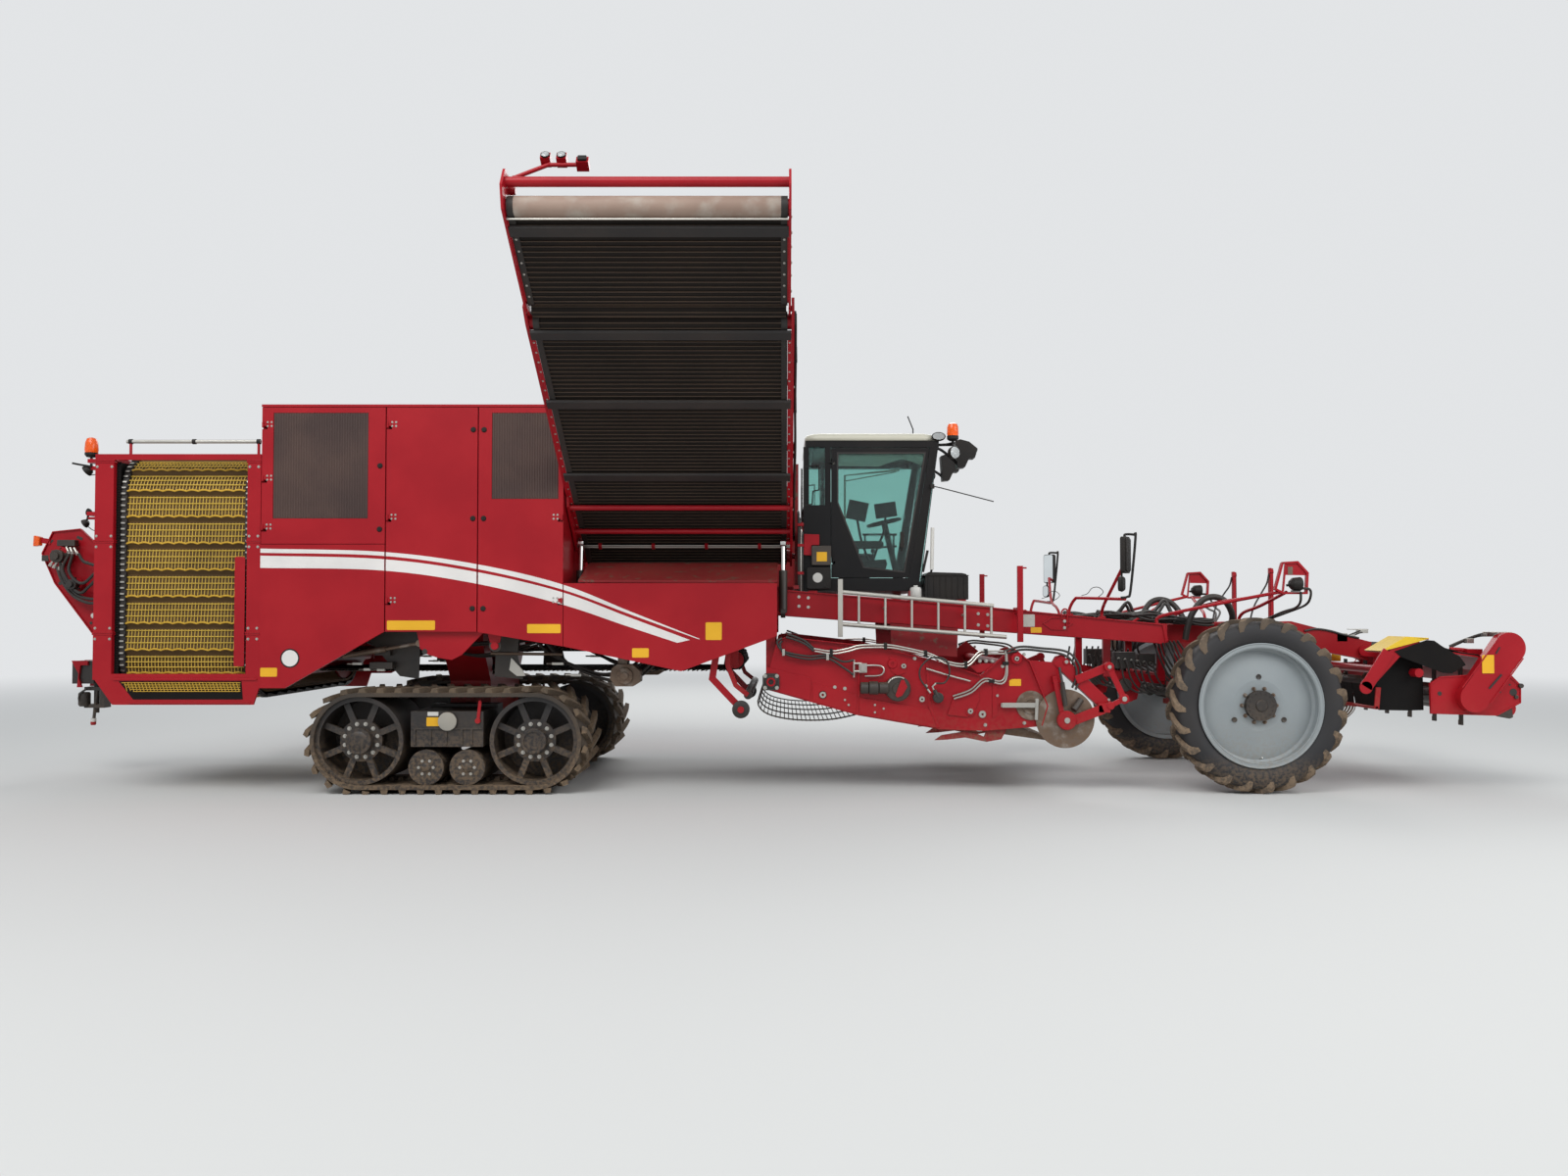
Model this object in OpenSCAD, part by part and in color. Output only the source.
// Self-propelled four-row potato harvester: two rear tracks, two steered front wheels,
// a raised discharge elevator and a front haulm topper.
// X runs forward, Y to the machine's left, Z up. The origin lies on the ground,
// under the middle of the tracks, on the machine's centreline.

/* [Overall] */
// Half of the machine's overall width
half_width = 1650; // [1640:5:1670]
// Gap that moving pieces keep from their neighbours
run_gap = 6; // [5:0.5:8]
// Gap between pieces that rest on each other
seat_gap = 0.3; // [0.2:0.1:0.5]
// Radial clearance of a pin in its bore
pin_gap = 0.1; // [0.05:0.01:0.1]

/* [Tracks] */
// Width of one track
track_width = 900; // [860:10:900]
// Distance between a track's two large wheels
track_base = 1780; // [1760:10:1800]
// Radius of a track's large wheels
track_wheel_r = 450; // [440:5:460]
// Radius of a track's small rollers
track_roller_r = 180; // [160:5:185]
// Distance between the two small rollers
track_roller_base = 420; // [400:10:440]
// Thickness of the track's belt
track_belt_t = 40; // [30:2:50]
// Height of the track's lugs
track_lug_h = 50; // [40:2:60]
// Number of lugs round one track
track_lugs = 36; // [30:1:40]
// Radius of a track wheel's axle
track_axle_r = 75; // [60:5:85]

/* [Front wheels] */
// Place of the front axle along the machine
axle_x = 8300; // [8280:5:8320]
// Outer radius of the front tyres, over the lugs
tyre_r = 900; // [880:5:920]
// Width of the front tyres
tyre_width = 340; // [320:10:350]
// Height of the tyre's lugs
tyre_lug_h = 40; // [30:2:45]
// Number of lugs on each shoulder of a tyre
tyre_lugs = 23; // [20:1:24]
// Radius on which the tyre's bead sits
bead_r = 610; // [600:2:614]
// Distance from the tyre's middle in to its kingpin
kingpin_inset = 360; // [350:5:370]
// Radius of the kingpin
kingpin_r = 35; // [30:1:40]
// Radius of the wheel's spindle
spindle_r = 60; // [50:2:66]
// Radius of the wheel's hub cap
hub_r = 155; // [150:1:165]

/* [Chassis] */
// Outer face of the chassis rails, from the centreline
rail_y = 1030; // [1020:5:1040]
// Width of a chassis rail
rail_w = 160; // [140:5:170]
// Outer face of the front rails, from the centreline
nose_rail_y = 600; // [580:5:610]
// Width of a front rail
nose_rail_w = 150; // [140:5:160]
// Radius of the tracks' cross axle
bolster_axle_r = 110; // [90:5:120]

/* [Rear housing] */
// Rear face of the housing
house_x0 = -1905; // [-1915:1:-1900]
// Front face of the housing
house_x1 = 1185; // [1180:1:1190]
// Top of the housing's roof
house_top = 3980; // [3960:5:4000]
// Height of the seam under the rear upper door
seam_z = 2545; // [2530:5:2560]
// Split between the rear and the middle door
split_1 = -630; // [-650:5:-610]
// Split between the middle and the front door
split_2 = 312; // [300:1:330]
// Thickness of a door
door_t = 35; // [30:1:40]
// Thickness of the housing's walls
wall_t = 30; // [25:1:35]
// Radius of a door hinge's pin
hinge_pin_r = 5; // [4:0.5:6]
// Radius of a door hinge's knuckle
hinge_r = 11; // [9:0.5:12]

/* [Hopper] */
// Front face of the hopper's front wall
hopper_x1 = 3600; // [3590:5:3610]
// Top of the hopper's walls
hopper_top = 3500; // [3400:10:3600]

/* [Discharge elevator] */
// Side face of the elevator next to the housing
elev_x0 = 1200; // [1197:1:1203]
// Side face of the elevator next to the cab
elev_x1 = 3530; // [3500:5:3540]
// Place of the elevator's pivot across the machine
elev_pivot_y = -550; // [-560:1:-540]
// Height of the elevator's pivot
elev_pivot_z = 2480; // [2475:1:2490]
// Angle of the elevator above level
elev_angle = 33.6; // [32:0.1:35]
// Length from the pivot to the head's hinge
elev_len = 3590; // [3550:10:3620]
// Length of the elevator's head, from its hinge to its roller
head_len = 1040; // [1000:10:1080]
// Radius of the elevator belt's loop at its rollers
elev_belt_r = 80; // [76:1:84]
// Radius of the elevator's pivot stubs
elev_pin_r = 30; // [26:1:34]
// Radius of a lift cylinder's barrel
lift_barrel_r = 45; // [40:1:50]
// Radius of a lift cylinder's rod
lift_rod_r = 25; // [20:1:28]

/* [Ring elevator] */
// Rear face of the ring elevator's frame
ring_x0 = -3600; // [-3620:5:-3590]
// Top of the ring elevator's frame
ring_top = 3470; // [3450:5:3490]
// Half height of the ring's loop
ring_half_z = 1240; // [1220:5:1260]
// Distance from the frame's outer face in to the ring's loop
ring_inset = 100; // [95:1:110]
// Radius of the ring's corners
ring_corner_r = 420; // [400:5:440]
// Depth of the ring's pockets
ring_pocket = 30; // [20:1:35]
// Width of the ring's belt
ring_belt_w = 1340; // [1300:10:1350]

/* [Cab] */
// Rear face of the cab
cab_x0 = 3650; // [3645:1:3660]
// Front end of the cab's roof
cab_x1 = 5095; // [5080:5:5110]
// Half of the cab's width
cab_half = 950; // [930:5:960]
// Underside of the cab's floor
cab_z0 = 2085; // [2082:1:2090]
// Top of the cab's door opening
cab_head_z = 3637; // [3620:1:3650]
// Underside of the cab's roof
cab_roof_z = 3711; // [3700:1:3720]
// Top of the cab's roof
cab_top_z = 3817; // [3800:1:3830]
// Thickness of the cab's glass
glass_t = 8; // [6:1:10]
// Underside of the cab's door
cab_door_z = 2230; // [2225:1:2240]

/* [Digging unit] */
// Distance from the machine's side in to the digging unit's side plates
dig_inset = 90; // [85:1:100]
// Distance between two rows of potatoes
row_pitch = 750; // [740:5:755]
// Thickness of the side plates
dig_t = 30; // [20:1:35]
// Place of the digging unit's pivot along the machine
dig_pivot_x = 3309; // [3300:1:3315]
// Height of the digging unit's pivot
dig_pivot_z = 1137; // [1130:1:1145]
// Radius of the digging unit's pivot pins
dig_pin_r = 30; // [26:1:34]
// Radius of the sieving web at its rollers
web_r = 110; // [100:2:116]
// Thickness of the sieving webs
web_t = 16; // [12:1:20]
// Radius of the disc coulters
disc_r = 300; // [280:5:305]

/* [Topper] */
// Distance from the machine's side in to the topper's side plates
top_inset = 100; // [95:1:110]
// Place of the topper's rotor along the machine
rotor_x = 10471; // [10465:1:10480]
// Height of the topper's rotor
rotor_z = 983; // [975:1:990]
// Radius of the topper's rotor over its flails
rotor_r = 300; // [290:2:304]
// Radius of the topper's pivot pins
top_pin_r = 30; // [26:1:34]

/* [Hidden] */
$fn = 48;

red = "#A81C30";
black = "#202020";
steel = "#9AA0A4";
rubber = "#3A3430";

// Heights and places that follow from the sizes above
track_r = track_wheel_r + seat_gap + track_belt_t;
track_z = track_r + track_lug_h;
track_y0 = half_width - track_width;
track_mid_y = half_width - track_width / 2;
bolster_y = track_y0 - 60;
wheel_y = half_width - tyre_width / 2;
kingpin_y = wheel_y - kingpin_inset;
shell_y = half_width - 50;
door_y1 = half_width - 10;
door_y0 = door_y1 - door_t;
floor_z = 1860;
rail_low_z = 1660;
rail_top_z = 2104;
rail_bend_x = 3366;
rail_bend_z = 1821;
rail_end_x = 7543;
rail_end_z0 = 1517;
rail_end_z1 = 1727;
nose_x0 = 7380;
service_z = 1989;
topper_x = 9850;
topper_z = 1430;
door_top = house_top - 25 - run_gap;
elev_w0 = elev_x0 + 60;
elev_w1 = elev_x1 - 60;
head_gap = 150;
ring_mid_z = 2240;
ring_mid_x = -2700;
web_in = web_r - web_t;
dig_y = half_width - dig_inset;
dig_in = dig_y - dig_t;
top_y = half_width - top_inset;
ring_half_y = door_y1 - ring_inset;
// Places in the digging unit: the web's two rollers, the shares' tube, the ridge roller and the discs
dig_web_a = [3450, 1290];
dig_web_b = [5400, 860];
share_tube = [5680, 680];
share_tube_r = 36;
ridge_at = [5966, 900];
disc_at = [6312, 766];
disc_pin_r = 20;
ridge_pin_r = 25;
rows = [-1.5, -0.5, 0.5, 1.5] * row_pitch;
// Ends, height and half width of the rear web
web_x = [-1700, 2900];
web_z = 1330;
web_half = bolster_y - 120;
// Outline of the nose rails: the first two points are their underside
nose_line = [[nose_x0, 1530], [9000, 1500], [9900, 1330], [9944, 1527], [9055, 1758], [nose_x0, 1715]];
nose_slope = (nose_line[1][1] - nose_line[0][1]) / (nose_line[1][0] - nose_line[0][0]);

// Height of the nose rails' underside at x, and of the long rails' underside
function nose_low(x) = nose_line[0][1] + nose_slope * (x - nose_line[0][0]);
function rail_low(x) = x < house_x1 ? rail_low_z
    : rail_low_z + (rail_bend_z - rail_low_z) * (x - 50 - house_x1) / (rail_bend_x - house_x1);

// Box between two corners
module block(lo, hi) { translate(lo) cube(hi - lo); }

// Plate whose outline stands in the XZ plane, from y0 to y1
module plate_xz(pts, y0, y1) { translate([0, y1, 0]) rotate([90, 0, 0]) linear_extrude(y1 - y0) polygon(pts); }

// Plate whose outline stands in the YZ plane, from x0 to x1
module plate_yz(pts, x0, x1) { translate([x0, 0, 0]) rotate([90, 0, 90]) linear_extrude(x1 - x0) polygon(pts); }

// Round bars along each axis, and between two points
module rod_y(x, z, r, y0, y1) { translate([x, y1, z]) rotate([90, 0, 0]) cylinder(r = r, h = y1 - y0); }
module rod_x(y, z, r, x0, x1) { translate([x0, y, z]) rotate([0, 90, 0]) cylinder(r = r, h = x1 - x0); }
module rod_z(x, y, r, z0, z1) { translate([x, y, z0]) cylinder(r = r, h = z1 - z0); }
module rod(p, q, r) {
    d = q - p;
    translate(p) rotate([0, acos(d[2] / norm(d)), atan2(d[1], d[0])]) cylinder(r = r, h = norm(d));
}

// The same shape on the right side, and mirrored on the left side
module both_sides() {
    children();
    mirror([0, 1, 0]) children();
}
module on_side(side) { mirror([0, side, 0]) children(); }

// Point at distance s along a loop round two circles of radius r, the second at [len, 0]
function loop_point(s, len, r, h) =
    let (arc = PI * r)
    s < len ? [s, -r - h]
    : s < len + arc ? let (a = -90 + 180 * (s - len) / arc) [len + (r + h) * cos(a), (r + h) * sin(a)]
    : s < 2 * len + arc ? [2 * len + arc - s, r + h]
    : let (a = 90 + 180 * (s - 2 * len - arc) / arc) [(r + h) * cos(a), (r + h) * sin(a)];

// Outline of a belt's loop with square teeth of height h, from the number of teeth
function toothed_loop(len, r, teeth, h, tooth_w, shift = 0) =
    let (total = 2 * (len + PI * r), pitch = total / teeth)
    [for (i = [0:teeth - 1], k = [0:3])
        let (s = (i + shift) * pitch + tooth_w * (k < 2 ? 0 : 1))
        loop_point(s - total * floor(s / total), len, r, k == 1 || k == 2 ? h : -2)];

// Plain loop round two circles
module plain_loop(len, r) {
    translate([0, -r]) square([len, 2 * r]);
    for (x = [0, len]) translate([x, 0]) circle(r = r, $fn = 72);
}

// Belt with teeth on its outside, its first circle at the origin, standing in the XY plane
module toothed_belt(len, r, t, teeth, h, tooth_w, width, shift = 0) {
    linear_extrude(width) difference() {
        union() {
            plain_loop(len, r);
            polygon(toothed_loop(len, r, teeth, h, tooth_w, shift));
        }
        plain_loop(len, r - t);
    }
}

// Chassis: two long rails with their cross members and the posts under the cab
module main_frame() {
    rail = [[house_x0 + 95, rail_low_z], [house_x1, rail_low_z], [rail_bend_x, rail_bend_z],
        [rail_end_x - 60, rail_end_z0], [rail_end_x, rail_end_z1], [rail_bend_x, rail_top_z],
        [house_x1 + 5, rail_top_z], [house_x1 + 5, floor_z], [house_x0 + 95, floor_z]];
    color(red) union() {
        both_sides() {
            plate_xz(rail, -rail_y, rail_w - rail_y);
            for (x = [3700, 4780]) block([x, -rail_y, 1850], [x + 100, rail_w - rail_y, cab_z0]);
            for (x = [4990, 5300]) block([x, -rail_y, 1850], [x + 90, rail_w - rail_y, service_z]);
        }
        for (x = [-1760, 900, 3100]) block([x, -rail_y + 80, 1690], [x + 100, rail_y - 80, 1830]);
        block([5600, -rail_y + 80, 1690], [5700, rail_y - 80, 1830]);
        block([nose_x0, -rail_y, nose_line[0][1]], [rail_end_x, rail_y, nose_line[5][1]]);
    }
}

// Nose: the two narrow rails that carry the front axle and the topper
module nose_frame() {
    color(red) difference() {
        union() {
            both_sides() plate_xz(nose_line, -nose_rail_y, nose_rail_w - nose_rail_y);
            block([9500, -nose_rail_y + 80, 1440], [9600, nose_rail_y - 80, 1560]);
        }
        rod_y(topper_x, topper_z, top_pin_r + pin_gap, -700, 700);
        block([nose_x0 - 10, -nose_rail_y - 10, 1500], [rail_end_x + seat_gap, nose_rail_y + 10, 1800]);
    }
}

// Bolster: the portal between the tracks, which carries their cross axle
module bolster() {
    top_z = rail_low_z - seat_gap;
    gap_y = web_half + 50;
    portal = [[rail_y - rail_w, top_z], [rail_y, top_z], [rail_y, 1500],
        [bolster_y, track_z + track_r + 75], [bolster_y, 480], [-bolster_y, 480],
        [-bolster_y, track_z + track_r + 75], [-rail_y, 1500], [-rail_y, top_z],
        [rail_w - rail_y, top_z], [-gap_y, web_z], [-gap_y, web_z - 160], [gap_y, web_z - 160], [gap_y, web_z]];
    color(red) union() {
        plate_yz(portal, -220, 220);
        rod_y(0, 600, bolster_axle_r, -bolster_y, bolster_y);
    }
}

// Hangers on the rails: outriggers of the skirts, hangers of the digging unit and of the rear web with
// its shafts, and the pins of the discharge elevator and its lift cylinders
module hangers() {
    inner = -rail_y - seat_gap;
    color(red) difference() {
        both_sides() {
            block([1340, -shell_y, 1700], [1430, inner, 1890]);
            block([3255, -shell_y, 1810], [3350, inner, 2050]);
            block([3255, -dig_in + 30, 1085], [3350, -dig_in + 60, 1960]);
        }
        rod_y(dig_pivot_x, dig_pivot_z, dig_pin_r + pin_gap, -shell_y, shell_y);
    }
    color(red) for (x = web_x) {
        rod_y(x, web_z, 40, 30 - rail_y, rail_y - 30);
        rod_y(x, web_z, web_in - seat_gap, -web_half - 10, web_half + 10);
        both_sides() block([x - 50, 20 - rail_y, web_z - 40], [x + 50, 60 - rail_y, rail_low(x) - seat_gap]);
    }
    color(red) {
        rod_x(elev_pivot_y, elev_pivot_z, elev_pin_r, house_x1 - wall_t - 15, elev_x0 + 25);
        rod_x(elev_pivot_y, elev_pivot_z, elev_pin_r, elev_x1 - 25, hopper_x1 - 5);
        rod_x(lift_a[0], lift_a[1], lift_pin_r, lift_x[0] - 27, 1350);
        rod_x(lift_a[0], lift_a[1], lift_pin_r, 3360, lift_x[1] + 27);
        for (x = [1340, 3325]) block([x, lift_a[0] - 35, 1700], [x + 40, inner, lift_a[1] + 35]);
    }
}

// Front axle: a beam under the nose rails, with a fork at each end for the knuckle
module front_axle() {
    color(red) difference() {
        union() {
            block([axle_x - 120, -kingpin_y + 130, 790], [axle_x + 120, kingpin_y - 130, 1010]);
            plate_xz([[axle_x - 150, 1000], [axle_x + 150, 1000], [axle_x + 150, nose_low(axle_x + 150) - seat_gap],
                [axle_x - 150, nose_low(axle_x - 150) - seat_gap]], -nose_rail_y, nose_rail_y);
            both_sides() for (z = [725, 1015])
                block([axle_x - 95, -kingpin_y - 80, z], [axle_x + 95, 260 - kingpin_y, z + 60]);
            both_sides() for (z = [725, 1005])
                block([axle_x - 95, 130 - kingpin_y, z], [axle_x + 95, 260 - kingpin_y, z + 70]);
        }
        both_sides() rod_z(axle_x, -kingpin_y, kingpin_r + pin_gap, 700, 1100);
    }
}

// Steering knuckle with its kingpin, its spindle and its steering arm
module knuckle() {
    color(black) {
        rod_z(axle_x, -kingpin_y, 80, 785 + seat_gap, 1015 - seat_gap);
        rod_z(axle_x, -kingpin_y, kingpin_r, 715, 1085);
        rod_y(axle_x, tyre_r, spindle_r, 110 - wheel_y - 200, -kingpin_y);
        block([axle_x - 320, -kingpin_y - 30, 880], [axle_x, 30 - kingpin_y, 920]);
    }
}

// Round shape that turns on the front wheel's axle, outwards along +Z of its own profile
module on_wheel() { translate([axle_x, -wheel_y, tyre_r]) rotate([90, 0, 0]) children(); }

// Hub: a sleeve on the spindle and the cap that stands out of the rim
module hub() {
    color(black) on_wheel() difference() {
        union() {
            translate([0, 0, -175]) cylinder(r = hub_r - 35, h = 280);
            translate([0, 0, 92]) cylinder(r = hub_r, h = 68);
        }
        translate([0, 0, -180]) cylinder(r = spindle_r + pin_gap, h = 275);
    }
}

// Rim: the barrel with its two flanges, and the dished disc
module rim() {
    w = tyre_width / 2 - 10;
    profile = [[bead_r - 20, -w], [bead_r + 25, -w], [bead_r + 25, -w + 17], [bead_r, -w + 30],
        [bead_r, w - 30], [bead_r + 25, w - 17], [bead_r + 25, w], [bead_r - 14, w],
        [bead_r - 20, 60], [bead_r - 50, 46], [260, 92 - seat_gap], [hub_r - 35 + seat_gap, 92 - seat_gap],
        [hub_r - 35 + seat_gap, 76], [258, 76], [bead_r - 54, 28], [bead_r - 20, 20]];
    color(steel) on_wheel() rotate_extrude($fn = 72) polygon(profile);
}

// Tyre with two rows of slanted lugs
module tyre() {
    w = tyre_width / 2;
    tread_r = tyre_r - tyre_lug_h;
    side = bead_r + seat_gap;
    profile = [[side, -w + 40.5], [side + 26, -w + 27], [side + 70, -w + 8], [tread_r - 130, -w + 2],
        [tread_r - 30, -w + 6], [tread_r, -w + 45], [tread_r, w - 45], [tread_r - 30, w - 6],
        [tread_r - 130, w - 2], [side + 70, w - 8], [side + 26, w - 27], [side, w - 40.5]];
    color(rubber) on_wheel() {
        union() {
            rotate_extrude($fn = 72) polygon(profile);
            intersection() {
                for (i = [0:tyre_lugs - 1], s = [-1, 1])
                    rotate([0, 0, -90 + (i + (s + 1) / 4) * 360 / tyre_lugs])
                        translate([tread_r - 16 + (tyre_lug_h + 26) / 2, 0, s * w * 0.48])
                            rotate([s * 42, 0, 0]) cube([tyre_lug_h + 26, 36, w * 1.06], center = true);
                translate([0, 0, -w]) cylinder(r = tyre_r, h = 2 * w, $fn = 72);
            }
        }
    }
}

// One large track wheel: a rim, a disc and eight spokes round its hub
module track_wheel(x) {
    translate([x, -track_y0 - 40, track_z]) rotate([90, 0, 0]) difference() {
        union() {
            difference() {
                cylinder(r = track_wheel_r, h = track_width - 80, $fn = 72);
                translate([0, 0, -1]) cylinder(r = track_wheel_r - 45, h = track_width - 78, $fn = 72);
            }
            translate([0, 0, 60]) cylinder(r = 130, h = track_width - 110);
            translate([0, 0, 330]) cylinder(r = track_wheel_r - 20, h = 40, $fn = 72);
            translate([0, 0, track_width - 190]) cylinder(r = 215, h = 50);
            for (a = [22.5:45:337.5]) rotate([0, 0, a])
                translate([110, -32, track_width - 190]) cube([track_wheel_r - 130, 64, 45]);
        }
        translate([0, 0, -1]) cylinder(r = track_axle_r + seat_gap, h = track_width - 99);
    }
}

// Track wheels: two large ones and two small rollers
module track_wheels() {
    color(black) {
        for (x = [-1, 1]) track_wheel(x * track_base / 2);
        for (x = [-1, 1]) difference() {
            rod_y(x * track_roller_base / 2, track_lug_h + track_belt_t + seat_gap + track_roller_r,
                track_roller_r, 50 - half_width, -track_y0 - 50);
            rod_y(x * track_roller_base / 2, track_lug_h + track_belt_t + seat_gap + track_roller_r,
                40 + seat_gap, 80 - half_width, 0);
        }
    }
}

// Track frame: the cast block between the wheels, the inner bar and the wheels' axles
module track_frame() {
    inner = -track_y0 + 20;
    roller_z = track_lug_h + track_belt_t + seat_gap + track_roller_r;
    color(black) union() {
        block([-track_base / 2 - 90, inner, track_z - 100], [track_base / 2 + 90, inner + 40 - seat_gap, track_z + 100]);
        block([-360, inner - 220, 480], [360, inner + 20, track_z + 330]);
        block([-370, 60 - half_width, 480], [370, inner - 200, track_z + 300]);
        rod_y(10, 740, 95, 30 - half_width, 100 - half_width);
        for (x = [-1, 1]) rod_y(x * track_base / 2, track_z, track_axle_r, 115 - half_width, inner + 20);
        for (x = [-1, 1]) rod_y(x * track_roller_base / 2, roller_z, 40, 85 - half_width, inner + 20);
        for (x = [-1, 1]) block([x * track_roller_base / 2 - 45, inner, 200], [x * track_roller_base / 2 + 45,
            inner + 30, track_z]);
    }
}

// Track belt: a rubber loop, its lugs in two rows that stand half a pitch apart
module track_belt() {
    color(rubber) for (k = [0, 1])
        translate([-track_base / 2, k * track_width / 2 - half_width + track_width / 2, track_z]) rotate([90, 0, 0])
            toothed_belt(track_base, track_r, track_belt_t, track_lugs, track_lug_h, 70, track_width / 2, k / 2);
}

// Engine and its radiators as one block
module engine() {
    color(black) block([-620, -600, floor_z + wall_t + seat_gap], [780, 500, floor_z + 1130]);
}

// Housing: floor, roof, end walls and door posts
module housing() {
    color(red) difference() {
        union() {
            block([house_x0, -shell_y, floor_z + seat_gap], [house_x1, shell_y, floor_z + wall_t]);
            block([house_x0, -door_y1, house_top - 25], [house_x1, door_y1, house_top]);
            block([house_x0, -shell_y, floor_z + 10], [house_x0 + wall_t, shell_y, house_top - 20]);
            block([house_x1 - wall_t, -shell_y, floor_z + 10], [house_x1, shell_y, house_top - 20]);
            both_sides() {
                for (x = [split_1 - 30, split_2 - 25]) block([x, -shell_y, floor_z + 10], [x + 50, 50 - shell_y, house_top - 20]);
                block([house_x0 + 10, -shell_y, seam_z - 60], [split_1, 40 - shell_y, seam_z]);
                block([house_x1 - 50, -shell_y, floor_z + 10], [house_x1, 50 - shell_y, house_top - 20]);
                hinge_lugs();
            }
        }
        rod_x(elev_pivot_y, elev_pivot_z, elev_pin_r + pin_gap, house_x1 - wall_t - 20, house_x1 + 20);
    }
}

// Skirts: under the rear upper door with a return at the rear, and under the elevator
module skirts() {
    rear = [[house_x0, seam_z], [split_1 - run_gap, seam_z], [split_1 - run_gap, 1655], [-1642, 1080],
        [house_x0, 1080]];
    front = [[house_x1 + run_gap, 2149], [3370, 2149], [3370, 1611], [2393, 1252], [house_x1 + run_gap, 1505]];
    color(red) both_sides() {
        plate_xz(rear, -door_y1, -shell_y - seat_gap);
        block([house_x0, -door_y1, 1130], [house_x0 + wall_t, -rail_y - 40, floor_z]);
        plate_xz(front, -door_y1, -shell_y - seat_gap);
    }
}

// Hinges. Each row holds the door's hinge line x, its three heights and the side it opens to
DOOR_HINGES = [[house_x0 + run_gap + 14, [2700, 3200, 3750], 1], [split_1 + run_gap + 14, [1950, 2800, 3750], 1],
    [house_x1 - 14, [1950, 2800, 3750], -1]];
hinge_y = door_y1 + 12;

// Lugs and pins of the hinges, which stand on the housing
module hinge_lugs() {
    for (h = DOOR_HINGES, z = h[1]) {
        translate([h[0] - 8, -hinge_y - 8, z - 10]) cube([16, 14, 10]);
        rod_z(h[0], -hinge_y, hinge_pin_r, z - 5, z + 50);
        translate([h[0] - 8, -hinge_y - 8, z - 10]) cube([16, hinge_y + 8 - shell_y + 5, 10]);
    }
}

// Slatted grille across a window of a door
module grille(x0, x1, z0, z1) {
    pitch = 46;
    count = floor((x1 - x0) / pitch);
    step = (x1 - x0) / count;
    for (i = [0:count - 1]) block([x0 + i * step + step * 0.2, -door_y1 + 6, z0 - 5],
        [x0 + i * step + step * 0.8, -door_y1 + 14, z1 + 5]);
    block([x0 - 5, -door_y1 + 14, z0 - 5], [x1 + 5, -door_y1 + 20, z1 + 5]);
}

// Door of the housing with the notches for its hinge lugs
module house_door(row, pts, window) {
    h = DOOR_HINGES[row];
    color(red) union() {
        difference() {
            plate_xz(pts, -door_y1, -door_y0);
            if (len(window) > 0) block([window[0], -door_y1 - 1, window[2]], [window[1], -door_y0 + 1, window[3]]);
            for (z = h[1]) translate([h[0] - 40, -door_y1 - 1, z - 24]) cube([80, door_t + 2, 28]);
        }
        if (len(window) > 0) grille(window[0], window[1], window[2], window[3]);
        for (z = h[1]) difference() {
            union() {
                rod_z(h[0], -hinge_y, hinge_r, z + seat_gap, z + 45);
                block([h[2] > 0 ? h[0] : h[0] - 34, -hinge_y + 4, z + 8], [h[2] > 0 ? h[0] + 34 : h[0], 5 - door_y1, z + 44]);
            }
            rod_z(h[0], -hinge_y, hinge_pin_r + pin_gap, z - 5, z + 60);
        }
    }
}
module door_rear() {
    house_door(0, [[house_x0 + run_gap, seam_z + run_gap], [split_1 - run_gap, seam_z + run_gap],
        [split_1 - run_gap, door_top], [house_x0 + run_gap, door_top]], [-1782, -811, 2810, 3894]);
}
module door_mid() {
    house_door(1, [[split_1 + run_gap, 1655], [split_2 - run_gap, 1655], [split_2 - run_gap, door_top],
        [split_1 + run_gap, door_top]], []);
}
module door_front() {
    house_door(2, [[split_2 + run_gap, 1650], [house_x1, 1505], [house_x1, door_top],
        [split_2 + run_gap, door_top]], [453, 1135, 3010, 3894]);
}

// Hopper: floor, left wall, front wall and the sloping flap under the elevator
module hopper() {
    x0 = house_x1 + seat_gap;
    floor_low = rail_top_z + seat_gap;
    color(red) difference() {
        union() {
            block([x0, -480, floor_low], [hopper_x1, shell_y, floor_low + 40]);
            block([x0, shell_y - 20, floor_low], [hopper_x1, shell_y, hopper_top]);
            block([x0, shell_y - 5, floor_low + 60], [hopper_x1, door_y1, hopper_top]);
            block([hopper_x1 - 40, -620, floor_low], [hopper_x1, door_y1, hopper_top]);
            block([x0, -rail_y, floor_low], [x0 + 60, 0, floor_low + 40]);
            block([hopper_x1 - 60, -rail_y, floor_low], [hopper_x1, 0, floor_low + 40]);
            plate_yz([[-shell_y + 20, 2160], [-900, 2370], [-900, 2390], [-shell_y + 20, 2182]], 1330, 3370);
            for (x = [1332, 3340]) plate_yz([[-1000, floor_low + 5], [-900, floor_low + 5], [-900, 2372],
                [-1000, 2345]], x, x + 28);
            for (x = [1332, 3340]) block([x, -1020, floor_low], [x + 28, -470, floor_low + 38]);
        }
        rod_x(elev_pivot_y, elev_pivot_z, elev_pin_r + pin_gap, hopper_x1 - 60, hopper_x1 + 20);
    }
}

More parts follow.
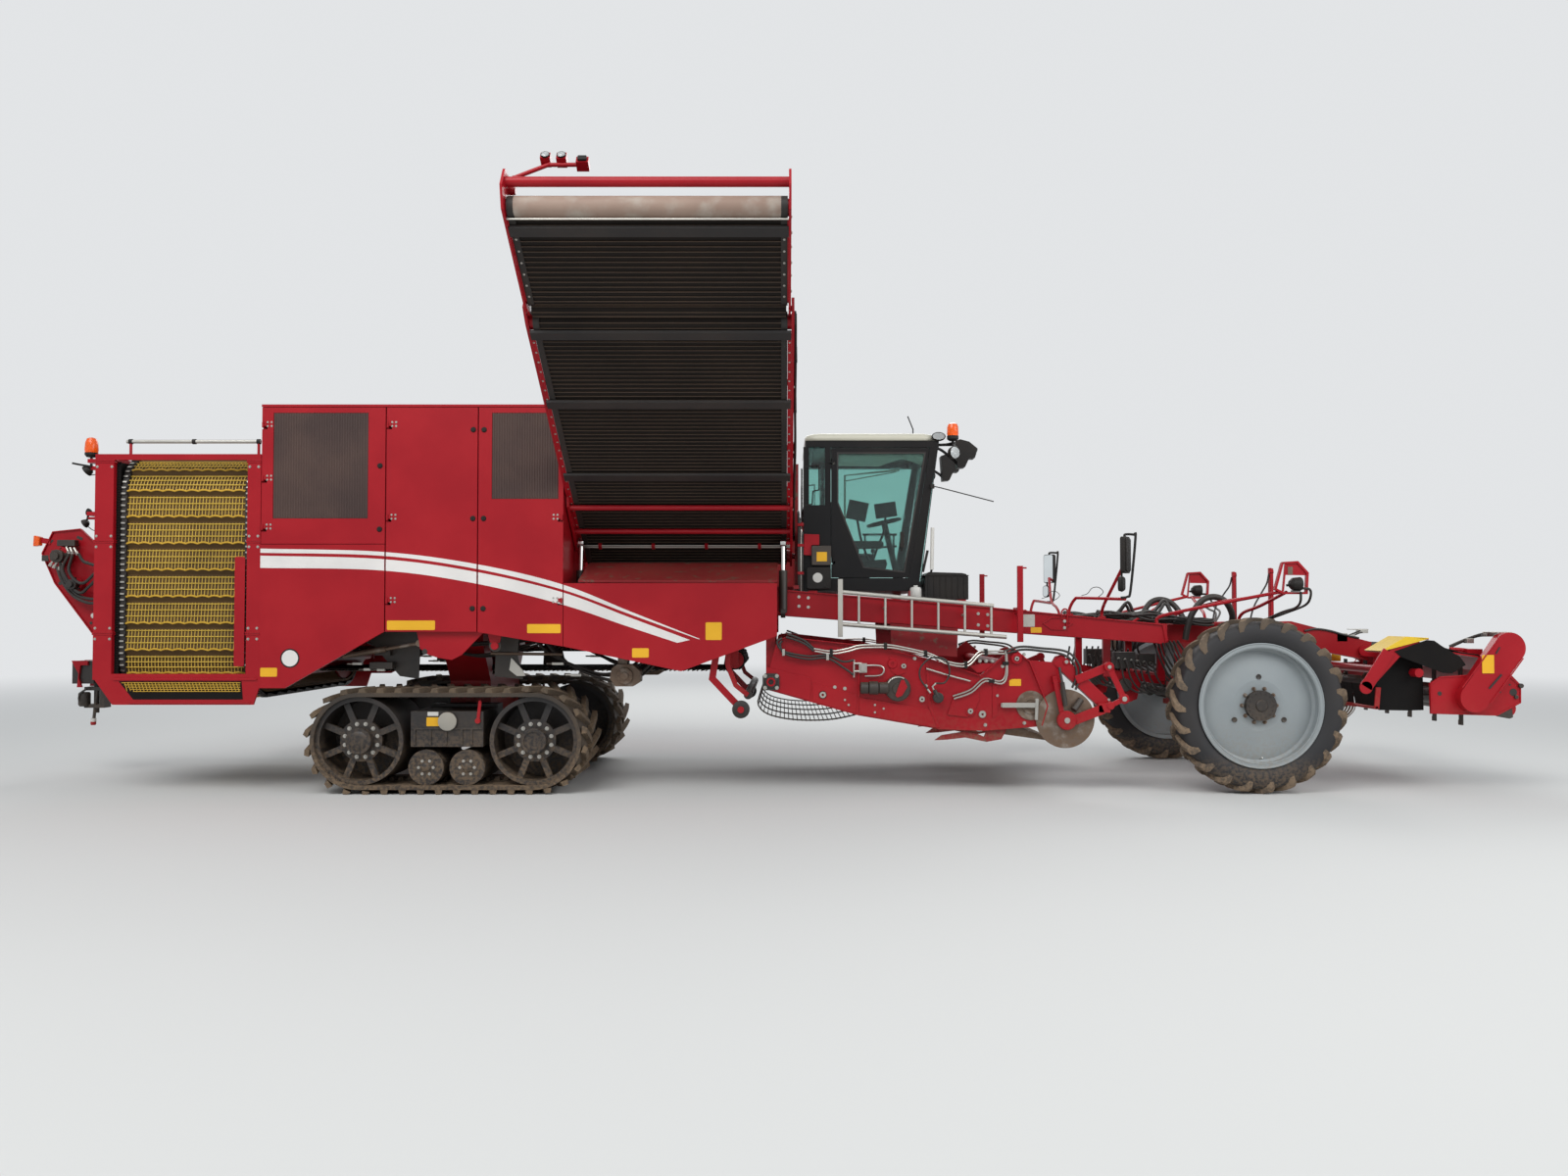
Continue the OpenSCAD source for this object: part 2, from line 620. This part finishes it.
// Ring elevator frame: corner posts, beams and handrails on each side, joined at both ends
ring_x1 = house_x0 - seat_gap;
ring_low = ring_mid_z - 1075;
module ring_frame() {
    guard_line = [[ring_x0, ring_low + 30], [-3395, 911], [-1960, 911], [ring_x1, 1080], [ring_x1, ring_low + 30]];
    color(red) union() {
        both_sides() {
            block([ring_x0, -door_y1, ring_low], [ring_x0 + 190, 60 - door_y1, ring_top]);
            block([ring_x1 - 136, -door_y1, ring_low], [ring_x1, 60 - door_y1, ring_top]);
            block([ring_x0, -door_y1, ring_top - 60], [ring_x1, 40 - door_y1, ring_top]);
            block([ring_x0, -door_y1, ring_low], [ring_x1, 40 - door_y1, ring_low + 60]);
            plate_xz(guard_line, -door_y1, 25 - door_y1);
            for (x = [-3250, -1940]) rod([x, -door_y1 + 20, ring_top - 20], [x, -door_y1 + 20, 3607], 14);
            rod_x(-door_y1 + 20, 3600, 18, -3260, -1930);
        }
        for (x = [ring_x0, ring_x1 - 60], z = [ring_low, ring_top - 60])
            block([x, -door_y1 + 20, z], [x + 60, door_y1 - 20, z + 60]);
    }
}

// Ring elevator's rollers: the inner posts with the shafts and discs that carry the ring
module ring_rollers() {
    corner_y = ring_half_y - ring_corner_r;
    corner_z = ring_half_z - ring_corner_r;
    color(red) both_sides() {
        for (x = [ring_x0, ring_x1 - 60]) block([x, -1060, ring_low + 60 + seat_gap], [x + 60, -940, ring_top - 60 - seat_gap]);
        for (s = [-1, 1]) {
            rod_x(-corner_y, ring_mid_z + s * corner_z, 45, ring_x0 + 30, ring_x1 - 30);
            for (x = [ring_x0, ring_x1 - 60]) block([x, -1200, ring_mid_z + s * corner_z - 60],
                [x + 60, -1000, ring_mid_z + s * corner_z + 60]);
            for (x = [-1, 1]) translate([ring_mid_x + x * (ring_belt_w / 2 - 40), 0, 0])
                rod_x(-corner_y, ring_mid_z + s * corner_z, ring_corner_r - 40 - seat_gap, -15, 15);
        }
    }
}

// Point on the ring's rounded rectangle at height h over it. Each side has its pockets by a loop
function ring_side(n, x, y, dx, dy, len, h) = [for (i = [0:n - 1], k = [0, 1])
    [x + dx * len * (i + k * 0.82) / n + dy * k * h, y + dy * len * (i + k * 0.82) / n - dx * k * h]];
function ring_arc(n, cx, cy, a0, r, h) = [for (i = [0:n - 1], k = [0, 1])
    let (a = a0 + 90 * (i + k * 0.82) / n) [cx + (r + k * h) * cos(a), cy + (r + k * h) * sin(a)]];

// Ring elevator belt: a loop across the machine with a pocket every quarter metre
module ring_belt() {
    sy = ring_half_y - ring_corner_r;
    sz = ring_half_z - ring_corner_r;
    outline = concat(
        ring_side(9, -sy, -ring_half_z, 1, 0, 2 * sy, ring_pocket), ring_arc(3, sy, -sz, -90, ring_corner_r, ring_pocket),
        ring_side(6, ring_half_y, -sz, 0, 1, 2 * sz, ring_pocket), ring_arc(3, sy, sz, 0, ring_corner_r, ring_pocket),
        ring_side(9, sy, ring_half_z, -1, 0, 2 * sy, ring_pocket), ring_arc(3, -sy, sz, 90, ring_corner_r, ring_pocket),
        ring_side(6, -ring_half_y, sz, 0, -1, 2 * sz, ring_pocket), ring_arc(3, -sy, -sz, 180, ring_corner_r, ring_pocket));
    color("#C9A22A") translate([ring_mid_x - ring_belt_w / 2, 0, ring_mid_z]) rotate([90, 0, 90])
        linear_extrude(ring_belt_w) difference() {
            polygon(outline);
            square([2 * sy, 2 * (ring_half_z - 40)], center = true);
            square([2 * (ring_half_y - 40), 2 * sz], center = true);
            for (a = [-1, 1], b = [-1, 1]) translate([a * sy, b * sz]) circle(r = ring_corner_r - 40);
        }
}

// Rear drive plate with its motor, carried by the ring elevator's frame
module rear_plate() {
    outline = [[-4514, 2485], [-4402, 2717], [-4107, 2748], [-3936, 2590], [ring_x0 - seat_gap, 2590],
        [ring_x0 - seat_gap, 2420], [-3920, 2400], [-3950, 1900], [ring_x0 - seat_gap, 1800],
        [ring_x0 - seat_gap, 1640], [-3954, 1621], [-4372, 2168]];
    color(red) union() {
        plate_xz(outline, -1020, -990);
        rod_y(-4280, 2450, 110, -1120, -1000);
        rod_y(-4120, 2150, 80, -1100, -1000);
    }
}

// Tow coupling: a beam behind the ring elevator with a jaw for a drawbar pin
module tow_coupling() {
    color(black) difference() {
        union() {
            block([-4500, -90, 1060], [ring_x0 - seat_gap, 90, 1225]);
            block([-4727, -110, 1040], [-4480, 110, 1300]);
            block([-4430, -70, 760], [-4380, 70, 1100]);
            for (z = [760, 960]) block([-4610, -70, z], [-4400, 70, z + 40]);
        }
        rod_z(-4530, 0, 20, 700, 1030);
    }
}

// Web that carries the crop from the digging unit back between the tracks
module rear_web() {
    color(black) translate([web_x[0], web_half, web_z]) rotate([90, 0, 0])
        toothed_belt(web_x[1] - web_x[0], web_r, web_t, 96, 10, 30, 2 * web_half);
}

// Cab frame: floor, pillars, headers and lower walls
module cab_frame() {
    front_pillar = [[cab_x1 - 75, cab_head_z + 5], [cab_x1 + 5, cab_head_z + 5], [4890, cab_z0 + 40], [4770, cab_z0 + 40]];
    color(black) difference() {
        union() {
            block([cab_x0, -cab_half, cab_z0 + seat_gap], [4920, cab_half, cab_z0 + 60]);
            block([cab_x0 + 22, -cab_half, cab_head_z], [cab_x1 + 20, cab_half, cab_roof_z - seat_gap]);
            both_sides() {
                plate_xz(front_pillar, -cab_half, 70 - cab_half);
                block([cab_x0, -cab_half, cab_z0 + 40], [cab_x0 + 60, 60 - cab_half, cab_head_z + 5]);
                block([3883, -cab_half, cab_z0 + 40], [3945, 60 - cab_half, cab_head_z + 5]);
                block([cab_x0, -cab_half, cab_z0 + 40], [3945, 30 - cab_half, 3012]);
                block([3900, -cab_half, cab_z0 + 40], [4860, 50 - cab_half, cab_door_z - run_gap]);
            }
            block([cab_x0, -cab_half, cab_z0 + 40], [cab_x0 + 30, cab_half, 3012]);
            block([4860, -cab_half + 20, cab_z0 + 40], [4905, cab_half - 20, 2190]);
        }
        block([cab_x0 + 120, -cab_half + 80, cab_head_z - 10], [cab_x1 - 120, cab_half - 80, cab_roof_z + 10]);
        for (z = [2400, 3480]) rod_z(3945 + run_gap + 14, -cab_half - 12, 5 + pin_gap, z - 20, z - 10);
    }
    color(black) for (z = [2400, 3480]) {
        block([3935, -cab_half - 20, z - 10], [3945 + run_gap + 22, -cab_half - 4, z]);
        block([3925, -cab_half - 20, z - 10], [3944, 10 - cab_half, z]);
        rod_z(3945 + run_gap + 14, -cab_half - 12, 5, z - 5, z + 50);
    }
}

// Cab roof: a shallow cap with rounded corners
module cab_roof() {
    r = 120;
    color("#C9C8BC") difference() {
        translate([0, 0, cab_roof_z]) linear_extrude(cab_top_z - cab_roof_z) {
            translate([cab_x0 + 22 + r, -cab_half + 10]) square([cab_x1 - cab_x0 - 22 - 2 * r, 2 * cab_half - 20]);
            translate([cab_x0 + 22, -cab_half + 10 + r]) square([cab_x1 - cab_x0 - 22, 2 * cab_half - 20 - 2 * r]);
            for (x = [cab_x0 + 22 + r, cab_x1 - r], s = [-1, 1]) translate([x, s * (cab_half - 10 - r)]) circle(r = r);
        }
        block([cab_x0 + 120, -cab_half + 80, cab_roof_z - 10], [cab_x1 - 120, cab_half - 80, cab_top_z - 50]);
    }
}

// Fixed panes of the cab: windscreen, left side, rear and the two rear quarters
module cab_glass() {
    y = cab_half - 40;
    screen = [[cab_x1 + 6, cab_head_z - seat_gap], [cab_x1 + 6 + glass_t, cab_head_z - seat_gap],
        [4920, 2190 + seat_gap], [4920 - glass_t, 2190 + seat_gap]];
    side = [[3945 + seat_gap, cab_door_z], [3945 + seat_gap, cab_head_z - seat_gap],
        [cab_x1 - 78, cab_head_z - seat_gap], [4786, cab_door_z]];
    color("#8FD0C4", 0.4) {
        plate_xz(screen, 20 - cab_half, cab_half - 20);
        plate_xz(side, y, y + glass_t);
        block([cab_x0 + 10, 61 - cab_half, 3012 + seat_gap], [cab_x0 + 10 + glass_t, cab_half - 61, cab_head_z - seat_gap]);
        both_sides() block([cab_x0 + 60 + seat_gap, -y - glass_t, 3012 + seat_gap],
            [3883 - seat_gap, -y, cab_head_z - seat_gap]);
    }
}

// Outline of the cab door, narrowed by d on every side
function door_line(d) = [[3945 + run_gap + d, cab_door_z + d], [4792 - run_gap - d * 1.1, cab_door_z + d],
    [cab_x1 - 76 - run_gap - d * 1.1, cab_head_z - run_gap - d], [3945 + run_gap + d, cab_head_z - run_gap - d]];

// Cab door frame, hinged at its rear edge
module cab_door() {
    x = 3945 + run_gap + 14;
    color(black) difference() {
        union() {
            difference() {
                plate_xz(door_line(0), -cab_half, 35 - cab_half);
                plate_xz([[4020, 3040], [4300, cab_door_z + 110], [4735, cab_door_z + 60], [4965, cab_head_z - 60],
                    [4020, cab_head_z - 60]], -cab_half - 1, 36 - cab_half);
                for (z = [2400, 3480]) block([3940, -cab_half - 1, z - 24], [x + 26, 36 - cab_half, z + 4]);
            }
            for (z = [2400, 3480]) {
                rod_z(x, -cab_half - 12, 10, z + seat_gap, z + 45);
                block([x, -cab_half - 7, z + 8], [x + 34, 5 - cab_half, z + 44]);
            }
        }
        for (z = [2400, 3480]) rod_z(x, -cab_half - 12, 5 + pin_gap, z - 5, z + 60);
    }
}
module cab_door_glass() {
    g = seat_gap;
    color("#8FD0C4", 0.4) plate_xz([[4020 + g, 3040 + g], [4300 + g, cab_door_z + 110 + 2 * g],
        [4735 - g, cab_door_z + 60 + g], [4965 - 2 * g, cab_head_z - 60 - g], [4020 + g, cab_head_z - 60 - g]],
        14 - cab_half, 14 + glass_t - cab_half);
}

// Driver's seat with its armrest console, as one solid
module cab_seat() {
    z = cab_z0 + 60 + seat_gap;
    color(black) union() {
        block([4080, -180, z], [4420, 180, z + 260]);
        block([3990, -260, z + 250], [4500, 260, z + 390]);
        plate_xz([[3960, z + 330], [4110, z + 330], [4020, z + 1020], [3900, z + 1020]], -240, 240);
        block([4150, -420, z + 430], [4560, -280, z + 520]);
        block([4200, -380, z], [4300, -260, z + 440]);
    }
}

// Steering column and wheel
module steering_wheel() {
    color(black) union() {
        rod([4780, 0, cab_z0 + 70], [4600, 0, 2900], 35);
        translate([4600, 0, 2900]) rotate([0, -12.6, 0]) rotate_extrude() translate([190, 0]) circle(r = 16, $fn = 24);
        translate([4600, 0, 2900]) rotate([0, -12.6, 0]) for (a = [0:120:240]) rotate([0, 0, a])
            translate([0, -15, -6]) cube([188, 30, 12]);
        block([4700, -200, cab_z0 + 60 + seat_gap], [4800, 200, cab_z0 + 90]);
    }
}

// Ribbed black box ahead of the cab
module service_box() {
    color(black) union() {
        block([4945, -1000, service_z + seat_gap], [5425, -250, 2285]);
        for (x = [4960:60:5390]) block([x, -1008, 2000], [x + 28, -990, 2275]);
    }
}

// Aluminium ladder stowed along the right rail
module access_ladder() {
    y = -1200;
    color(steel) union() {
        block([4010, y - 30, 1593], [4060, y + 30, 2204]);
        rod([4050, y, 2069], [5656, y, 1924], 22);
        rod([4050, y, 1728], [5789, y, 1593], 22);
        for (i = [0:5]) rod([4230 + 280 * i, y, 1712 - 21.6 * i], [4230 + 280 * i, y, 2056 - 25.2 * i], 14);
        for (x = [4510, 5350]) rod_y(x, 1900 - (x - 4510) * 0.09, 14, y, -rail_y - seat_gap);
    }
}

// What stands on a sloping rail, cut to the line of its top
module on_rail() {
    difference() {
        children();
        plate_xz([[rail_bend_x, rail_top_z + seat_gap], [rail_end_x, rail_end_z1 + seat_gap], [rail_end_x, 1400],
            [rail_bend_x, 1400]], -rail_y - 20, rail_y + 20);
    }
}
module on_nose() {
    difference() {
        children();
        plate_xz([for (i = [5, 4, 3]) nose_line[i] + [0, seat_gap], [nose_line[3][0], 1200], [nose_x0, 1200]],
            -rail_y, rail_y);
    }
}

// One mirror a side on its tubes, and the plain post behind it
module mirrors() {
    color(red) on_rail() both_sides() {
        // Each row holds a tube's two ends
        for (t = [[[6500, -985, 1700], [6510, -990, 1900]], [[6510, -990, 1885], [6560, -1060, 2010]],
                [[6556, -1055, 2000], [6905, -1690, 1985]], [[6855, -985, 1650], [6855, -990, 1860]],
                [[6855, -990, 1845], [6832, -1300, 2012]], [[6832, -1285, 2000], [6884, -1668, 2310]],
                [[6900, -1680, 1985], [6955, -1700, 2070]], [[6953, -1700, 2058], [7010, -1700, 2632]],
                [[7010, -1700, 2626], [6895, -1700, 2640]], [[6900, -1700, 2644], [6900, -1700, 2600]]])
            rod(t[0], t[1], 16);
        translate([6903, -1700, 2248]) rotate([0, 0, -35]) block([-27, -84, 0], [27, 84, 372]);
        rod([6866, -1700, 2260], [6866, -1700, 2100], 12);
        translate([6862, -1700, 2065]) rotate([0, 0, -35]) block([-22, -52, 0], [22, 52, 150]);
        block([5905, -1220, 1540], [5965, -1180, 2345]);
        block([5905, -1185, 1800], [5965, -960, 1905]);
    }
}

// One work lamp a side in its hood over the front wheel, and the two uprights on the nose
module front_lamps() {
    hood = [[8608, 2364], [8764, 2374], [8867, 2260], [8855, 2052], [8616, 2052], [8533, 2094]];
    window = [[8585, 2120], [8648, 2240], [8838, 2240], [8832, 2080], [8612, 2080]];
    color(red) on_rail() on_nose() both_sides() {
        difference() {
            plate_xz(hood, -1450, -1410);
            plate_xz(window, -1460, -1400);
        }
        rod_x(-1430, 2146, 68, 8690, 8790);
        // Each row holds a brace's two ends
        for (t = [[[7440, -980, 1600], [7450, -985, 1810]], [[7450, -985, 1795], [8600, -1430, 2066]],
                [[8500, -525, 1600], [8505, -535, 1830]], [[8505, -535, 1815], [8660, -1430, 2066]]])
            rod(t[0], t[1], 18);
        block([8840, -560, 1550], [8880, -510, 2345]);
    }
}

// Digging unit frame: two side plates, the web's rollers, the cross tubes and the disc arms
module digger_frame() {
    side = [[3239, 1067], [3370, 1579], [3480, 1599], [4385, 1498], [4958, 1368], [5450, 1207], [5783, 1498],
        [5964, 1348], [6142, 896], [6081, 686], [5488, 640], [5026, 656], [4203, 796]];
    arm = [[5900, 1180], [5960, 1360], [6250, 1338], disc_at + [68, 0], disc_at - [0, 66], disc_at - [68, 0]];
    color(red) difference() {
        union() {
            both_sides() {
                plate_xz(side, -dig_y, -dig_in);
                plate_xz(arm, -dig_y, -dig_in);
                rod_y(dig_pivot_x, dig_pivot_z, dig_pin_r, -dig_y + 5, -dig_in + 68);
                rod_y(dig_pivot_x, dig_pivot_z, 70, -dig_y - 15, -dig_y + 5);
                rod_y(disc_at[0], disc_at[1], disc_pin_r, -dig_y - 48, -dig_y + 5);
            }
            // Each row holds a cross tube's place and radius
            for (t = [[dig_web_a, web_in - seat_gap], [dig_web_b, web_in - seat_gap],
                    [(dig_web_a + dig_web_b) / 2, 45], [share_tube, share_tube_r], [[5800, 1300], 45]])
                rod_y(t[0][0], t[0][1], t[1], -dig_in - 5, dig_in + 5);
        }
        both_sides() rod_y(ridge_at[0], ridge_at[1], ridge_pin_r + pin_gap, -dig_y - 10, 10 - dig_in);
    }
}

// Sieving web of the digging unit
module digger_web() {
    d = dig_web_b - dig_web_a;
    half = dig_in - 80;
    color(black) translate([dig_web_a[0], half, dig_web_a[1]]) rotate([90, 0, 0]) rotate([0, 0, atan2(d[1], d[0])])
        toothed_belt(norm(d), web_r, web_t, 48, 12, 34, 2 * half);
}

// Shares: one wide blade for each row, saddled on its cross tube
module digger_shares() {
    blade = [[5600, 640], [5680, 720], [5760, 700], [6240, 540], [6240, 520], [5660, 600]];
    color(steel) difference() {
        for (y = rows) plate_xz(blade, y - 330, y + 330);
        rod_y(share_tube[0], share_tube[1], share_tube_r + seat_gap, -dig_y, dig_y);
    }
}

// Ridge roller: a shaft with one waisted roller over each row
module ridge_roller() {
    color(black) union() {
        rod_y(ridge_at[0], ridge_at[1], ridge_pin_r, -dig_y + 2, dig_y - 2);
        for (y = rows) translate([ridge_at[0], y + 300, ridge_at[1]]) rotate([90, 0, 0])
            rotate_extrude() polygon([[10, 0], [160, 0], [160, 30], [90, 220], [90, 380], [160, 570], [160, 600], [10, 600]]);
    }
}

// Disc coulter at the outside of the outer row
module disc() {
    color(steel) difference() {
        union() {
            rod_y(disc_at[0], disc_at[1], disc_r, -dig_y - 30, -dig_y - 22);
            rod_y(disc_at[0], disc_at[1], 60, -dig_y - 46, -dig_y - 4);
        }
        rod_y(disc_at[0], disc_at[1], disc_pin_r + pin_gap, -half_width, 0);
    }
}

// Topper frame: arms from its pivots, side plates, hood, belt guards and support rollers
module topper_frame() {
    side = [[10060, 1124], [10172, 1195], [10848, 1235], [10998, 1104], [10995, 923], [10751, 792], [10066, 812]];
    hood = [[9990, 1470], [10175, 1447], [10560, 1390], [10850, 1235], [10990, 1090], [11010, 1100], [10860, 1255],
        [10570, 1405], [10180, 1462], [9990, 1485]];
    arm = [[topper_x, topper_z - 60], [10010, 1360], [10200, 1400], [10200, 1470], [10000, 1490],
        [topper_x, topper_z + 60]];
    side_arm = [[9413, 1050], [9480, 1094], [9760, 1400], [10200, 1240], [10200, 1470], [9814, 1598], [9690, 1500],
        [9360, 1130]];
    color(red) difference() {
        union() {
            both_sides() {
                plate_xz(side, -top_y, 20 - top_y);
                plate_xz(side_arm, -top_y, 20 - top_y);
                plate_xz(arm, -nose_rail_y - 40, -nose_rail_y - run_gap);
                rod_y(topper_x, topper_z, top_pin_r, -nose_rail_y - 20, nose_rail_w - nose_rail_y - 10);
                rod_y(topper_x, topper_z, 60, -nose_rail_y - 40, -nose_rail_y - run_gap);
                plate_xz([[9579, 1447], [9590, 1440], [9830, 1585], [10056, 1570], [10056, 1585], [9820, 1600]],
                    -top_y, 350 - top_y);
            }
            plate_xz(hood, 10 - top_y, top_y - 10);
            rod_y(9960, 1230, 45, 10 - top_y, top_y - 10);
            plate_xz([[9930, 1230], [9990, 1230], [10060, 1460], [9995, 1470]], -nose_rail_y - 40, -nose_rail_y - run_gap);
            plate_xz([[9930, 1230], [9990, 1230], [10060, 1460], [9995, 1470]], nose_rail_y + run_gap, nose_rail_y + 40);
            rod_y(10862, 865, 85, 10 - top_y, top_y - 10);
            guard();
        }
        rod_y(rotor_x, rotor_z, 35 + pin_gap, -top_y - 5, top_y + 5);
    }
}

// Belt guard on the right side, a long round-ended box round the two pulleys
module guard() {
    a = [rotor_x, rotor_z];
    b = [10832, 1487];
    difference() {
        translate([0, -top_y + 5, 0]) rotate([90, 0, 0]) linear_extrude(half_width - top_y) {
            translate(a) circle(r = 150);
            translate(b) circle(r = 160);
            polygon([a + [-123, 85], b + [-131, 91], b + [131, -91], a + [123, -85]]);
        }
        rod_y(rotor_x, rotor_z, 60, -top_y - 30, -top_y + 6);
    }
}

// Topper rotor: a drum with rows of flails
module topper_rotor() {
    color(black) union() {
        rod_y(rotor_x, rotor_z, 110, -top_y + 30, top_y - 30);
        rod_y(rotor_x, rotor_z, 35, -top_y - 22, top_y - 2);
        translate([rotor_x, 0, rotor_z]) rotate([90, 0, 0]) for (i = [0:11], a = [0, 180])
            rotate([0, 0, a + i * 90]) translate([100, -8, -1375 + i * 250 - 20]) cube([rotor_r - 102, 16, 60]);
    }
}

// Places the discharge elevator: Y runs out along it and Z points to its underside
module on_elevator() { translate([0, elev_pivot_y, elev_pivot_z]) rotate([180 - elev_angle, 0, 0]) children(); }

// Discharge elevator frame: side plates with the pivots' bores, rollers and cross tubes
module elevator_frame() {
    side = [[-110, -110], [300, -190], [elev_len - 120, -190], [elev_len + 70, -60], [elev_len + 70, 60],
        [elev_len - 100, 95], [1150, 95], [1080, 165], [380, 215], [330, 95], [-60, 95], [-110, 40]];
    roller = elev_belt_r - 12 - seat_gap;
    color(red) on_elevator() difference() {
        union() {
            for (x = [elev_x0, elev_x1 - 25]) plate_yz(side, x, x + 25);
            rod_x(0, 0, roller, elev_x0 + 20, elev_x1 - 20);
            rod_x(elev_len - head_gap, 0, roller, elev_x0 + 20, elev_x1 - 20);
            for (y = [620, 1018]) rod_x(y, 130, 28, elev_x0 + 20, elev_x1 - 20);
            // Bosses beside the eyes of the lift cylinders
            rod_x(lift_eye[0], lift_eye[1], lift_pin_r, elev_x0 + 20, lift_x[0] - lift_eye_w - seat_gap);
            rod_x(lift_eye[0], lift_eye[1], lift_pin_r, lift_x[1] + lift_eye_w + seat_gap, elev_x1 - 20);
            for (y = [900, 1800, 2700]) rod_x(y, 0, 30, elev_x0 + 20, elev_x1 - 20);
        }
        for (x = [elev_x0 - 1, elev_x1 - 26]) rod_x(elev_len, 0, 25 + pin_gap, x, x + 27);
        for (x = [elev_x0 - 1, elev_x1 - 27]) rod_x(0, 0, elev_pin_r + pin_gap, x, x + 28);
    }
}
module elevator_belt() {
    color(black) on_elevator() translate([elev_w0, 0, 0]) rotate([90, 0, 90])
        toothed_belt(elev_len - head_gap, elev_belt_r, 12, 60, 10, 30, elev_w1 - elev_w0);
}

// Head of the elevator, which folds at its hinge
module head_frame() {
    side = [[elev_len, -60], [elev_len, 60], [elev_len + 110, 120], [elev_len + head_len + 80, 120],
        [elev_len + head_len + 220, 0], [elev_len + head_len + 220, -190], [elev_len + head_len + 60, -260],
        [elev_len + 120, -200]];
    roller = elev_belt_r - 12 - seat_gap;
    x0 = elev_x0 + 31;
    x1 = elev_x1 - 31;
    color(red) on_elevator() union() {
        for (x = [x0, x1 - 20]) plate_yz(side, x, x + 20);
        for (x = [x0, x1 - 20]) rod_x(elev_len, 0, 60, x, x + 20);
        rod_x(elev_len, 0, 25, elev_x0, x0 + 5);
        rod_x(elev_len, 0, 25, x1 - 5, elev_x1);
        rod_x(elev_len + head_gap, 0, roller, x0 + 5, x1 - 5);
        rod_x(elev_len + head_len, 0, roller, x0 + 5, x1 - 5);
        rod_x(elev_len + head_len + 150, -120, 40, x0 + 5, x1 - 5);
        rod_x(elev_len + 600, 0, 30, x0 + 5, x1 - 5);
        lamp_arm(x0 + 35, elev_len + head_len + 40);
    }
}

// Arm with two lamps and a camera on the elevator's head
module lamp_arm(x, y) {
    rod_x(y, -150, 30, x - 20, x + 40);
    rod([x, y, -150], [x, y, -330], 17);
    rod([x, y, -320], [x + 295, y + 60, -420], 17);
    rod([x + 275, y + 55, -415], [x + 525, y + 60, -410], 17);
    block([x + 215, y + 20, -500], [x + 295, y + 110, -430]);
    block([x + 345, y + 20, -500], [x + 425, y + 110, -425]);
    block([x + 505, y + 10, -460], [x + 605, y + 100, -390]);
}

module head_belt() {
    color(black) on_elevator() translate([elev_w0, elev_len + head_gap, 0]) rotate([90, 0, 90])
        toothed_belt(head_len - head_gap, elev_belt_r, 12, 18, 10, 30, elev_w1 - elev_w0);
}

// Lift cylinders of the elevator
lift_x = [elev_x0 + 70, elev_x1 - 100];
lift_pin_r = 20;
lift_eye_w = lift_rod_r + 3;
lift_a = [elev_pivot_y - 580, elev_pivot_z - 630];
lift_arm = [-500, 117];
lift_b = [elev_pivot_y, elev_pivot_z] + lift_arm;
lift_eye = [lift_arm[1] * sin(elev_angle) - lift_arm[0] * cos(elev_angle),
    -lift_arm[0] * sin(elev_angle) - lift_arm[1] * cos(elev_angle)];
module on_lift() {
    d = lift_b - lift_a;
    translate([0, lift_a[0], lift_a[1]]) rotate([atan2(d[1], d[0]), 0, 0]) children();
}
module lift_barrels() {
    color(black) on_lift() for (x = lift_x) difference() {
        union() {
            translate([x, 0, 0]) rotate([-90, 0, 0]) cylinder(r = lift_barrel_r, h = 450);
            rod_x(0, 0, 55, x - 25, x + 25);
        }
        translate([x, 62, 0]) rotate([-90, 0, 0]) cylinder(r = lift_rod_r + pin_gap, h = 420);
        rod_x(0, 0, lift_pin_r + pin_gap, x - 60, x + 60);
    }
}
module lift_rods() {
    len = norm(lift_b - lift_a);
    color(steel) on_lift() for (x = lift_x) {
        translate([x, 260, 0]) rotate([-90, 0, 0]) cylinder(r = lift_rod_r, h = len - 260);
        rod_x(len, 0, 45, x - lift_eye_w, x + lift_eye_w);
    }
}

main_frame();
nose_frame();
bolster();
hangers();
front_axle();
engine();
housing();
skirts();
hopper();
ring_frame();
ring_rollers();
ring_belt();
rear_plate();
tow_coupling();
on_side(0) track_frame();  // track_frame_right
on_side(0) track_wheels();  // track_wheels_right
on_side(0) track_belt();  // track_belt_right
on_side(1) track_frame();  // track_frame_left
on_side(1) track_wheels();  // track_wheels_left
on_side(1) track_belt();  // track_belt_left
rear_web();
cab_frame();
cab_roof();
cab_glass();
cab_seat();
steering_wheel();
service_box();
access_ladder();
mirrors();
front_lamps();
on_side(0) door_rear();  // door_rear_right
on_side(0) door_mid();  // door_mid_right
on_side(0) door_front();  // door_front_right
on_side(1) door_rear();  // door_rear_left
on_side(1) door_mid();  // door_mid_left
on_side(1) door_front();  // door_front_left
cab_door();
cab_door_glass();
on_side(0) knuckle();  // knuckle_right
on_side(0) hub();  // hub_right
on_side(0) rim();  // rim_right
on_side(0) tyre();  // tyre_right
on_side(1) knuckle();  // knuckle_left
on_side(1) hub();  // hub_left
on_side(1) rim();  // rim_left
on_side(1) tyre();  // tyre_left
digger_frame();
digger_web();
digger_shares();
ridge_roller();
on_side(0) disc();  // disc_right
on_side(1) disc();  // disc_left
topper_frame();
topper_rotor();
elevator_frame();
elevator_belt();
head_frame();
head_belt();
lift_barrels();
lift_rods();
